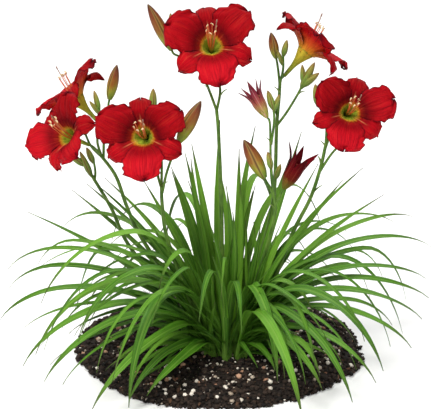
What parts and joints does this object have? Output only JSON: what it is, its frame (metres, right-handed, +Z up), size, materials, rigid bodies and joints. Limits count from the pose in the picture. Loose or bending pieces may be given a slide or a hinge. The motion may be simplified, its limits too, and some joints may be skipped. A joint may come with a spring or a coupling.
{
  "type": "daylily plant",
  "caption": "Flowering daylily clump with arching strap leaves, open red trumpet blooms, half-open flowers and buds on branched stems, growing in a low round bed of soil.",
  "frame": {"origin": "the middle of the soil bed's flat underside", "axes": "+X right and -Y towards the viewer as the plant is pictured, +Z up"},
  "size_m": [0.5968, 0.4902, 0.5197],
  "materials": {
    "soil_bed": "dark crumbly potting soil with pale grains",
    "leaf": "fresh green strap leaf with fine lengthwise veins",
    "stem": "smooth mid-green flower stem with small green buds",
    "bud": "orange-brown bud with a green base",
    "half_open": "dark red flower that has begun to open",
    "petal": "velvety crimson petal with a yellow-green throat",
    "stamen": "orange filament with a pale anther"
  },
  "bodies": {
    "root": {"soil_bed": "soil_bed", "fan_left": "leaf", "fan_front_left": "leaf", "fan_front": "leaf", "fan_front_right": "leaf", "fan_right": "leaf", "fan_back_right": "leaf", "fan_back": "leaf", "fan_back_middle": "leaf", "fan_back_left": "leaf", "stem_far_left": "stem", "stem_left": "stem", "stem_front_left": "stem", "stem_centre": "stem", "stem_back_right": "stem", "stem_front_right": "stem", "stem_right": "stem", "bud_top": "bud", "bud_left": "bud", "bud_middle": "bud", "bud_low": "bud", "bud_back_right": "bud", "opening_dark": "half_open", "opening_rose": "half_open", "bloom_top": "petal", "bloom_front_left": "petal", "bloom_right": "petal", "bloom_top_right": "petal", "bloom_left": "petal", "bloom_left_back": "petal", "stamens_top": "stamen", "stamens_front_left": "stamen", "stamens_right": "stamen", "stamens_top_right": "stamen", "stamens_left": "stamen", "stamens_left_back": "stamen"}
  },
  "joints": []
}
